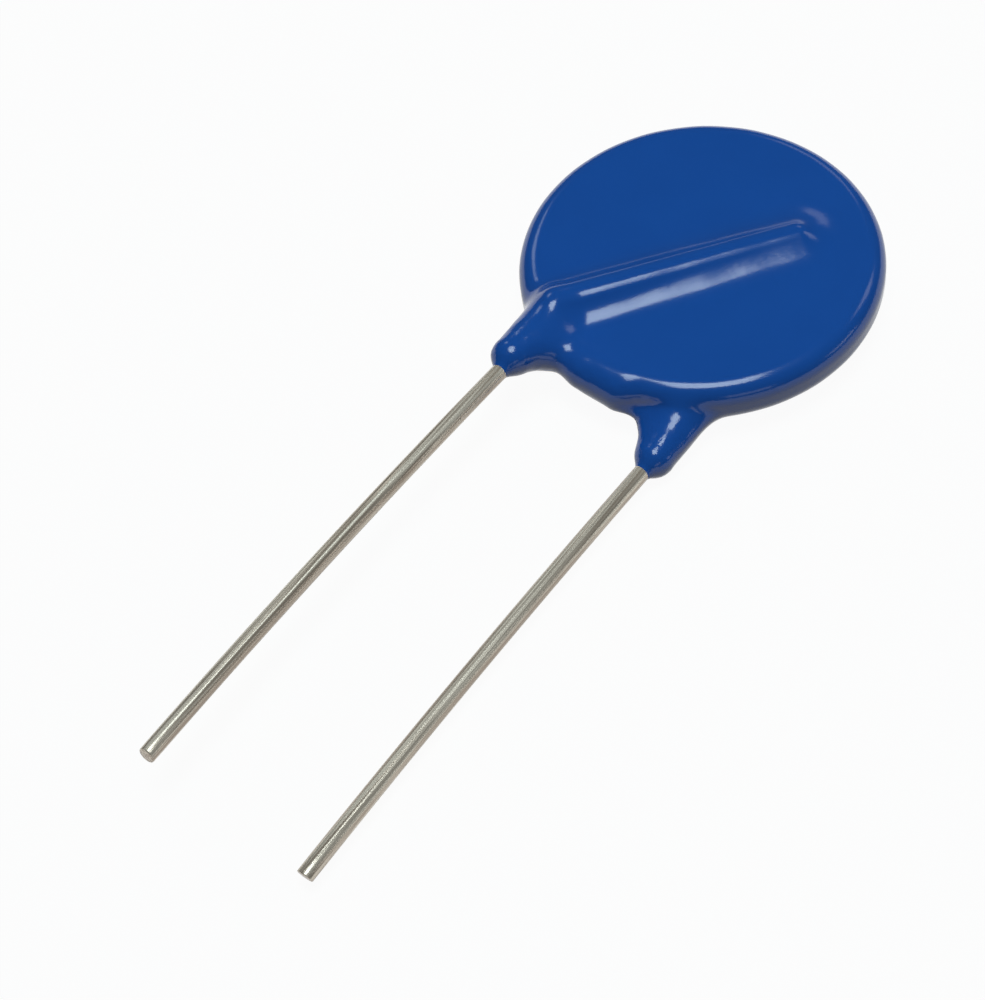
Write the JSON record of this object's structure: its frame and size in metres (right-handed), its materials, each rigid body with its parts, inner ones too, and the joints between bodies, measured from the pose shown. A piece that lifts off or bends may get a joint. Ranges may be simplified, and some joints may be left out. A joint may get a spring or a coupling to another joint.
{
  "type": "disc varistor",
  "caption": "Round dipped disc varistor with a soft ridge across each face and straight wire leads that leave it side by side.",
  "frame": {"origin": "under the middle of the part's length, on the surface that the rear ridge touches", "axes": "+X across the two leads, +Y along the leads from their cut ends to the disc, +Z out of the front face"},
  "size_m": [0.0218, 0.055, 0.0051],
  "materials": {
    "epoxy_skin": "glossy",
    "tinned_wire": "dull tin with fine draw marks",
    "zinc_oxide": "matte",
    "fired_silver": "matte",
    "solder": "satin"
  },
  "bodies": {
    "root": {"coating": "epoxy_skin", "ceramic_disc": "zinc_oxide", "front_electrode": "fired_silver", "rear_electrode": "fired_silver", "front_solder": "solder", "rear_solder": "solder", "front_lead": "tinned_wire", "rear_lead": "tinned_wire"}
  },
  "joints": []
}
